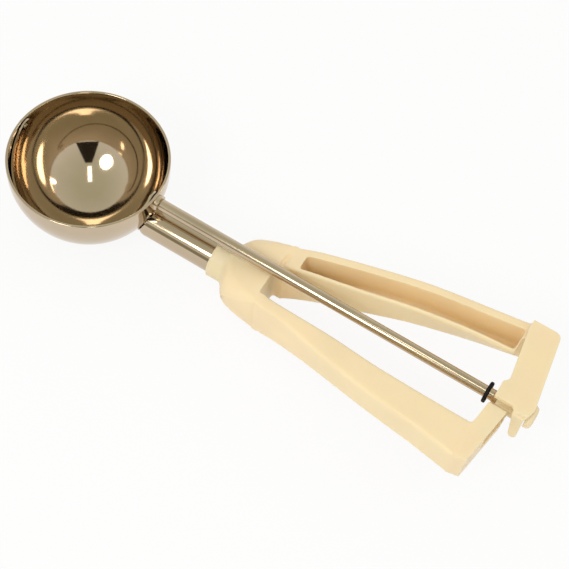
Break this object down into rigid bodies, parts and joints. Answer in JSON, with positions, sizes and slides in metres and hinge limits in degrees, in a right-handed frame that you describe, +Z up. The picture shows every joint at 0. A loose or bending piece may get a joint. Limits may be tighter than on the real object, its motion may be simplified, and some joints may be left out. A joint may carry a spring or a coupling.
{
  "type": "lever ice cream scoop",
  "caption": "Squeeze-handle ice cream scoop: round steel bowl with a sweeping scraper blade, driven by a rod, pinion and two racks at the end of a pair of ivory arms.",
  "frame": {"origin": "centre of the bowl's sphere, on the axis of the scraper rod", "axes": "+X along the rod from the bowl to the handle, +Z up out of the bowl's mouth"},
  "size_m": [0.2375, 0.066, 0.0417],
  "materials": {
    "polished_steel": "polished stainless steel",
    "ivory_plastic": "satin moulded plastic",
    "black_rubber": "matt"
  },
  "bodies": {
    "bowl_and_shank": {"bowl": "polished_steel", "far_pivot_rivet": "polished_steel", "rod_bush": "polished_steel", "shank_tube": "polished_steel", "shank_welds": "polished_steel", "handle_hub": "ivory_plastic", "hub_cross_pin": "polished_steel"},
    "far_side": {"far_arm": "ivory_plastic", "far_crosshead": "ivory_plastic"},
    "near_side": {"near_arm": "ivory_plastic", "near_crosshead": "ivory_plastic"},
    "scraper": {"scraper_blade": "polished_steel", "scraper_rod": "polished_steel", "pinion": "ivory_plastic", "rod_end_cap": "ivory_plastic", "rod_washer": "black_rubber"}
  },
  "joints": [
    {"name": "far_arm_squeeze", "type": "hinge", "parent": "bowl_and_shank", "child": "far_side", "pos_m": [0.09, 0.0129, -0.0136], "axis": [0, 0, -1], "range_deg": [0, 4.53], "stiffness_Nm_per_rad": 6, "springref_deg": -2.86},
    {"name": "near_arm_squeeze", "type": "hinge", "parent": "bowl_and_shank", "child": "near_side", "pos_m": [0.09, -0.0129, -0.0136], "axis": [0, 0, 1], "range_deg": [0, 4.82], "stiffness_Nm_per_rad": 6, "springref_deg": -2.86},
    {"name": "scraper_turn", "type": "hinge", "parent": "bowl_and_shank", "child": "scraper", "pos_m": [0, 0, 0], "axis": [1, 0, 0], "range_deg": [0, 135]}
  ],
  "couplings": [
    {"joint": "near_arm_squeeze", "follows": "far_arm_squeeze", "ratio": 1.0635},
    {"joint": "scraper_turn", "follows": "far_arm_squeeze", "ratio": 29.778}
  ]
}
